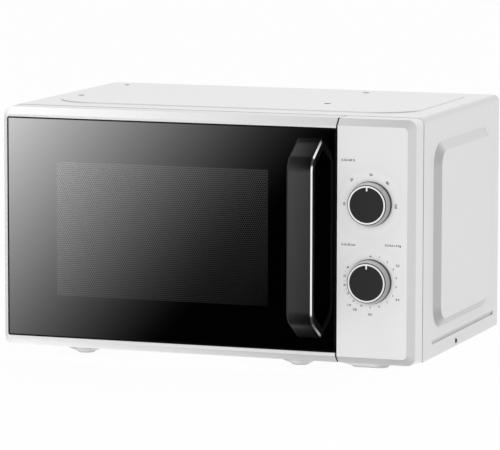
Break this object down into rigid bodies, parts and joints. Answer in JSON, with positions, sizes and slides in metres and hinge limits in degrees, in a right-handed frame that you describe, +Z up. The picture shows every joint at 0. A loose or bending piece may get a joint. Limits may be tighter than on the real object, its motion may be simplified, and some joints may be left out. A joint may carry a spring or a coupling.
{
  "type": "microwave oven",
  "caption": "White countertop microwave oven with a black glass door, a bow handle, rotary dials, a glass turntable and its working parts inside.",
  "frame": {"origin": "on the standing surface, under the middle of the overall box", "axes": "+X to the right seen from the front, +Y to the back, +Z up"},
  "size_m": [0.4522, 0.3422, 0.2588],
  "materials": {
    "white_paint": "satin enamel",
    "oven_enamel": "grey-white enamel",
    "white_plastic": "smooth moulded",
    "black_glass": "dark mirror glass",
    "clear_glass": "clear",
    "black_gloss": "polished",
    "black_matt": "fine matt",
    "bright_trim": "polished",
    "satin_silver": "satin",
    "zinc_steel": "zinc plated",
    "screen_steel": "black enamel",
    "grey_plastic": "moulded",
    "ivory_plastic": "moulded",
    "mica": "pressed mica",
    "copper_coil": "enamelled copper",
    "core_steel": "varnished laminations",
    "can_aluminium": "drawn",
    "pad_rubber": "matt"
  },
  "bodies": {
    "oven": {"cover": "white_paint", "back_panel": "zinc_steel", "base_plate": "white_paint", "foot_pads": "pad_rubber", "cover_screws": "zinc_steel", "cord_gland": "black_matt", "front_plate": "white_paint", "cavity_wrap": "oven_enamel", "cavity_roof": "oven_enamel", "cavity_back": "oven_enamel", "waveguide": "zinc_steel", "waveguide_cover": "mica", "oven_lamp": "ivory_plastic", "hinge_brackets": "zinc_steel", "hinge_pins": "zinc_steel", "latch_board": "ivory_plastic", "interlock_switches": "black_matt", "control_panel": "white_plastic", "timer_housing": "zinc_steel", "timer_bell": "bright_trim", "power_selector": "grey_plastic", "chassis_screws": "zinc_steel", "turntable_motor": "zinc_steel", "magnetron": "zinc_steel", "air_duct": "black_matt", "thermal_cutouts": "black_matt", "transformer_core": "core_steel", "transformer_coils": "copper_coil", "hv_capacitor": "can_aluminium", "capacitor_clamp": "zinc_steel", "hv_diode": "black_matt", "fan_shroud": "grey_plastic", "fan_motor": "core_steel", "noise_filter": "grey_plastic"},
    "door": {"door_frame": "white_plastic", "door_glass": "black_glass", "door_screen": "screen_steel", "choke_cover": "black_matt", "inner_window": "clear_glass", "handle_bar": "black_gloss", "handle_trims": "bright_trim", "handle_screws": "zinc_steel", "latch_guide": "black_matt"},
    "latch": {"latch_hooks": "ivory_plastic"},
    "timer_dial": {"timer_knob": "satin_silver", "timer_knob_ring": "bright_trim", "timer_knob_cap": "black_matt", "timer_shaft": "zinc_steel"},
    "power_dial": {"power_knob": "satin_silver", "power_knob_ring": "bright_trim", "power_knob_cap": "black_matt", "power_shaft": "zinc_steel"},
    "turntable": {"turntable_coupler": "ivory_plastic", "turntable_tray": "clear_glass"},
    "roller_carrier": {"roller_ring": "ivory_plastic"},
    "wheel_1": {"roller_wheel_1": "ivory_plastic"},
    "wheel_2": {"roller_wheel_2": "ivory_plastic"},
    "wheel_3": {"roller_wheel_3": "ivory_plastic"},
    "fan": {"fan_blade": "ivory_plastic"}
  },
  "joints": [
    {"name": "door_hinge", "type": "hinge", "parent": "oven", "child": "door", "pos_m": [-0.208, -0.1221, 0.1353], "axis": [0, 0, -1], "range_deg": [0, 100]},
    {"name": "latch_slide", "type": "slide", "parent": "door", "child": "latch", "axis": [0, 0, 1], "range_m": [0, 0.005], "stiffness_N_per_m": 150},
    {"name": "timer_turn", "type": "hinge", "parent": "oven", "child": "timer_dial", "pos_m": [0.1753, -0.1371, 0.0967], "axis": [0, 1, 0], "range_deg": [0, 300]},
    {"name": "power_turn", "type": "hinge", "parent": "oven", "child": "power_dial", "pos_m": [0.1753, -0.1371, 0.1743], "axis": [0, 1, 0], "range_deg": [-90, 90]},
    {"name": "turntable_spin", "type": "hinge", "parent": "oven", "child": "turntable", "pos_m": [-0.046, 0.0267, 0.0534], "axis": [0, 0, 1], "continuous": true},
    {"name": "roller_spin", "type": "hinge", "parent": "oven", "child": "roller_carrier", "pos_m": [-0.046, 0.0267, 0.0451], "axis": [0, 0, 1], "continuous": true},
    {"name": "fan_spin", "type": "hinge", "parent": "oven", "child": "fan", "pos_m": [0.1568, 0.1453, 0.1988], "axis": [0, 1, 0], "continuous": true},
    {"name": "wheel_1_spin", "type": "hinge", "parent": "roller_carrier", "child": "wheel_1", "pos_m": [0.0443, 0.0267, 0.0451], "axis": [1, 0, 0], "continuous": true},
    {"name": "wheel_2_spin", "type": "hinge", "parent": "roller_carrier", "child": "wheel_2", "pos_m": [-0.09115, 0.1049, 0.0451], "axis": [-0.5, 0.866, 0], "continuous": true},
    {"name": "wheel_3_spin", "type": "hinge", "parent": "roller_carrier", "child": "wheel_3", "pos_m": [-0.09115, -0.0515, 0.0451], "axis": [-0.5, -0.866, 0], "continuous": true}
  ],
  "couplings": [
    {"joint": "roller_spin", "follows": "turntable_spin", "ratio": 0.5},
    {"joint": "wheel_1_spin", "follows": "turntable_spin", "ratio": -5.6437},
    {"joint": "wheel_2_spin", "follows": "turntable_spin", "ratio": -5.6437},
    {"joint": "wheel_3_spin", "follows": "turntable_spin", "ratio": -5.6437}
  ]
}
